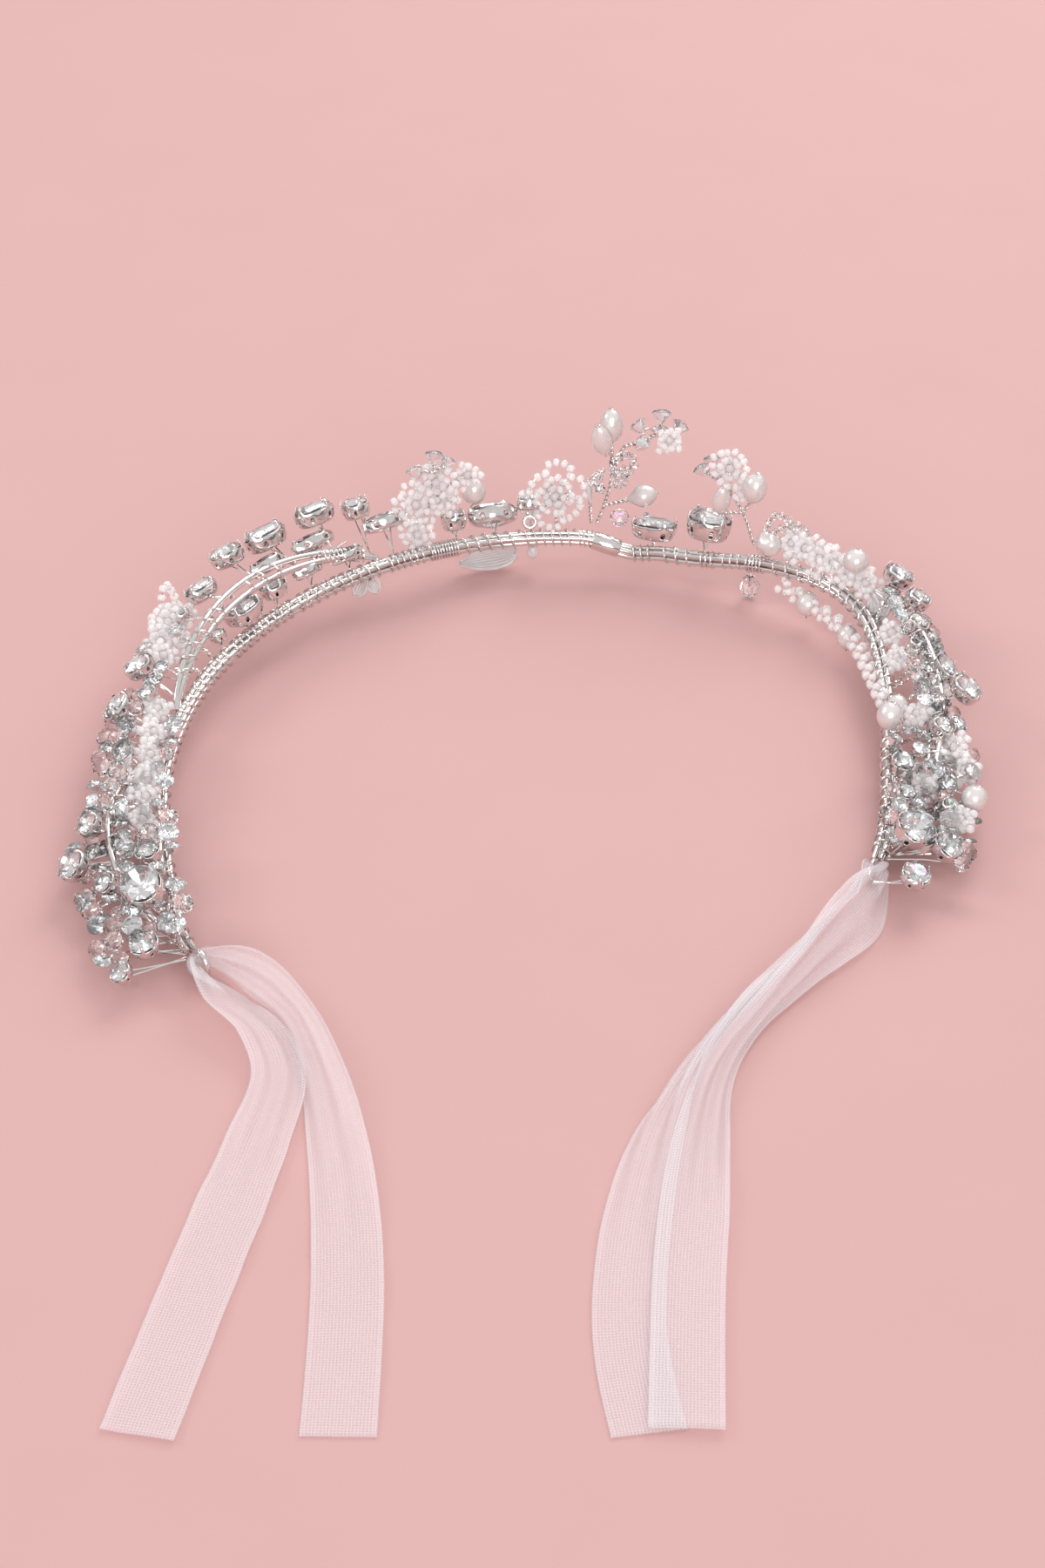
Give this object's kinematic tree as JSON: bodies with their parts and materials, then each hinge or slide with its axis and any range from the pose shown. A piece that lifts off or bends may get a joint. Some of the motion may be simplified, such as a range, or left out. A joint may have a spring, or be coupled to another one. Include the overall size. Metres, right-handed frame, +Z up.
{
  "type": "bridal flower crown",
  "caption": "Open oval bridal crown of bound silver wire with set crystals, pearl and seed-bead sprays, and a sheer ribbon tie at each end.",
  "frame": {"origin": "centre of the open oval band, on the surface that the crown stands on", "axes": "+Z up; +Y towards the front of the crown, away from its open side; +X towards the right-hand half in the view from the open side"},
  "size_m": [0.1768, 0.2535, 0.0385],
  "materials": {
    "silver": "bright silver-plated wire and stamped cups",
    "crystal": "clear faceted glass, foiled behind where it is set",
    "pearl": "soft ivory pearl lustre",
    "seed_bead": "pinkish clear glass seed beads",
    "organza": "sheer pale organza ribbon"
  },
  "bodies": {
    "left_band": {"inner_rail_left": "silver", "outer_rail_left": "silver", "join_sleeve": "silver", "front_binding": "silver", "centre_binding": "silver", "upper_rail_left": "silver", "rear_upper_rail_left": "silver", "end_eye_left": "silver", "front_round_cup": "silver", "front_marquise_cup": "silver", "left_round_cup": "silver", "left_oval_cup": "silver", "left_pear_cup": "silver", "left_octagon_cup": "silver", "rear_large_left_cup": "silver", "front_round_stone": "crystal", "front_marquise_stone": "crystal", "left_round_stone": "crystal", "left_oval_stone": "crystal", "left_pear_stone": "crystal", "left_octagon_stone": "crystal", "rear_large_left_stone": "crystal", "left_ab_stone": "crystal", "left_side_stone": "crystal", "rear_outer_stone_left": "crystal", "ribbed_petal": "crystal", "seed_fan": "seed_bead", "left_seed_mass": "seed_bead"},
    "centre_spray": {"centre_spray_stem": "silver", "centre_leaf_pearl": "pearl", "rhinestone_flower": "silver", "flower_seed_cluster": "seed_bead"},
    "spinning_pearl": {"top_pearl": "pearl"},
    "spinning_drop": {"drop_bead": "pearl"},
    "left_spray": {"left_spray_stem": "silver", "left_spray_seeds": "seed_bead"},
    "right_spray": {"right_spray_stem": "silver", "right_spray_seeds": "seed_bead", "right_leaf_pearl": "pearl", "right_pearl": "pearl"},
    "left_tie": {"left_ribbon": "organza"},
    "right_tie": {"right_ribbon": "organza"},
    "right_band": {"inner_rail_right": "silver", "outer_rail_right": "silver", "upper_rail_right": "silver", "end_eye_right": "silver", "front_octagon_cup": "silver", "front_octagon_stone": "crystal", "front_large_round_cup": "silver", "front_large_round_stone": "crystal", "right_shoulder_stone": "crystal", "right_side_stone": "crystal", "rear_large_right": "crystal", "clear_bead": "crystal", "hanging_crystal": "crystal", "baroque_pearl": "pearl", "right_seed_mass": "seed_bead", "shoulder_pearl": "pearl", "side_pearl_right": "pearl", "outer_pearl_right": "pearl"}
  },
  "joints": [
    {"name": "band_flex", "type": "hinge", "parent": "left_band", "child": "right_band", "pos_m": [0.01846, 0.07692, 0.00665], "axis": [0, 0, 1], "range_deg": [-5, 12], "stiffness_Nm_per_rad": 0.05},
    {"name": "left_tie_lift", "type": "hinge", "parent": "left_band", "child": "left_tie", "pos_m": [-0.06079, -0.05657, 0.0029], "axis": [-0.8143, -0.5805, 0], "range_deg": [-75, 75]},
    {"name": "right_tie_lift", "type": "hinge", "parent": "right_band", "child": "right_tie", "pos_m": [0.06325, -0.03039, 0.0029], "axis": [0.9176, -0.3976, 0], "range_deg": [-75, 75]},
    {"name": "centre_spray_bend", "type": "hinge", "parent": "left_band", "child": "centre_spray", "pos_m": [0.01347, 0.08104, 0.0112], "axis": [0.9951, -0.0993, 0], "range_deg": [-25, 25]},
    {"name": "left_spray_bend", "type": "hinge", "parent": "left_band", "child": "left_spray", "pos_m": [-0.02415, 0.0754, 0.0124], "axis": [0.9117, 0.4109, 0], "range_deg": [-20, 20]},
    {"name": "right_spray_bend", "type": "hinge", "parent": "right_band", "child": "right_spray", "pos_m": [0.04671, 0.07047, 0.0122], "axis": [0.8127, -0.5826, 0], "range_deg": [-20, 20]},
    {"name": "top_pearl_spin", "type": "hinge", "parent": "centre_spray", "child": "spinning_pearl", "pos_m": [0.01631, 0.08252, 0.0334], "axis": [-0.0282, 0.129, 0.9912], "continuous": true},
    {"name": "drop_bead_spin", "type": "hinge", "parent": "centre_spray", "child": "spinning_drop", "pos_m": [0.02303, 0.08109, 0.0168], "axis": [0.9614, -0.0232, 0.274], "continuous": true}
  ]
}
